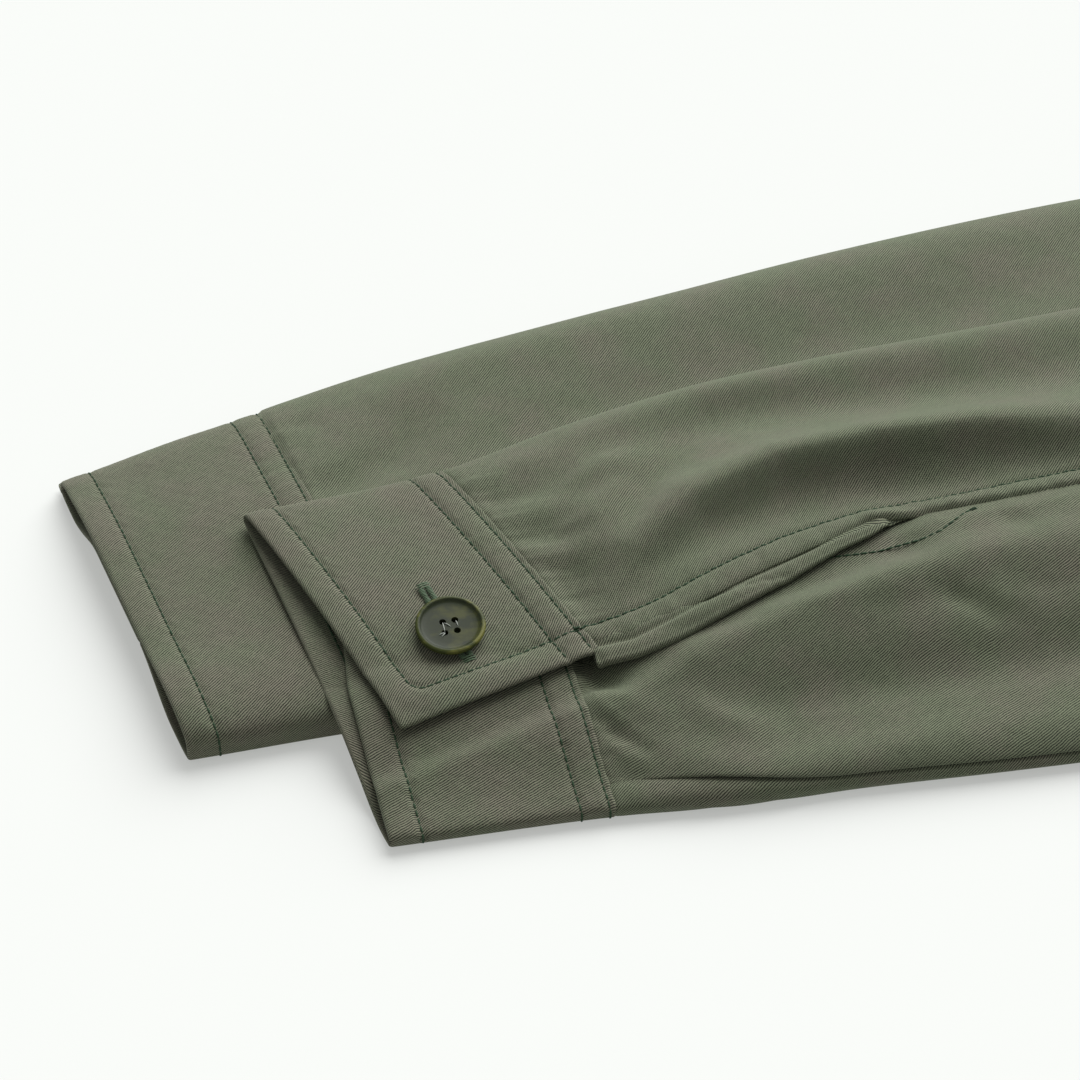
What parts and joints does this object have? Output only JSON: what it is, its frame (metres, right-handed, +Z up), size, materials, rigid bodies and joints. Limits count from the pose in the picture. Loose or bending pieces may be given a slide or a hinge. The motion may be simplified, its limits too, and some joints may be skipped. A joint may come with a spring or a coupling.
{
  "type": "harrington jacket",
  "caption": "Cotton twill harrington jacket, folded in half along the back and laid flat, sleeves together with buttoned cuffs to the front.",
  "frame": {"origin": "centre of the laid jacket's footprint, on the surface it rests on", "axes": "+X towards the folded edge of the back, +Y from the hem to the collar, +Z up"},
  "size_m": [0.7838, 0.728, 0.0276],
  "materials": {
    "twill": "matte cotton twill, olive grey",
    "zip_tape": "matte woven tape",
    "button": "polished marbled resin"
  },
  "bodies": {
    "root": {"back": "twill", "front_right": "twill", "front_left": "twill", "hem_band": "twill", "collar": "twill", "zip": "zip_tape", "sleeve_left_top": "twill", "sleeve_left_under": "twill", "placket_left": "twill", "cuff_left": "twill", "button_left": "button", "sleeve_right_top": "twill", "sleeve_right_under": "twill", "cuff_right": "twill"}
  },
  "joints": []
}
